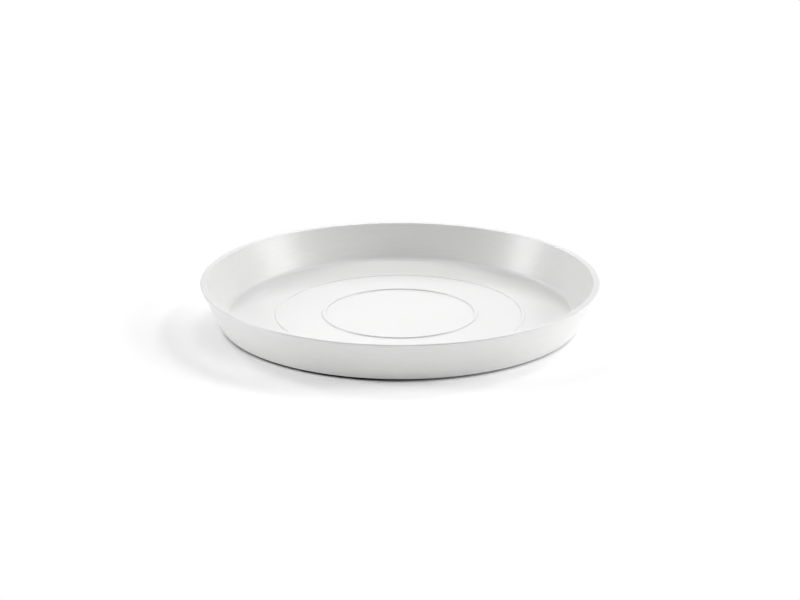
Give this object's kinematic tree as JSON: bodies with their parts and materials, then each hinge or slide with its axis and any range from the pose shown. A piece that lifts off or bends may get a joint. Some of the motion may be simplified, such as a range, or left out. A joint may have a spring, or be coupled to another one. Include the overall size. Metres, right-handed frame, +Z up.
{
  "type": "plant saucer",
  "caption": "Shallow round plant saucer that catches drained water: flared wall, flat rim and raised rings on its floor, standing just clear of the ground on stuck-on rubber feet.",
  "frame": {"origin": "on the ground under the middle of the saucer", "axes": "+Z up along the saucer's turning axis, +X towards the middle of the first foot"},
  "size_m": [0.24, 0.24, 0.0259],
  "materials": {
    "dish_plastic": "satin white moulding",
    "foot_rubber": "matt black rubber",
    "foot_tape": "matt double-sided tape"
  },
  "bodies": {
    "root": {"saucer_body": "dish_plastic", "foot_pad_1": "foot_rubber", "foot_pad_2": "foot_rubber", "foot_pad_3": "foot_rubber", "foot_pad_4": "foot_rubber", "foot_pad_5": "foot_rubber", "foot_pad_6": "foot_rubber", "foot_tape_1": "foot_tape", "foot_tape_2": "foot_tape", "foot_tape_3": "foot_tape", "foot_tape_4": "foot_tape", "foot_tape_5": "foot_tape", "foot_tape_6": "foot_tape"}
  },
  "joints": []
}
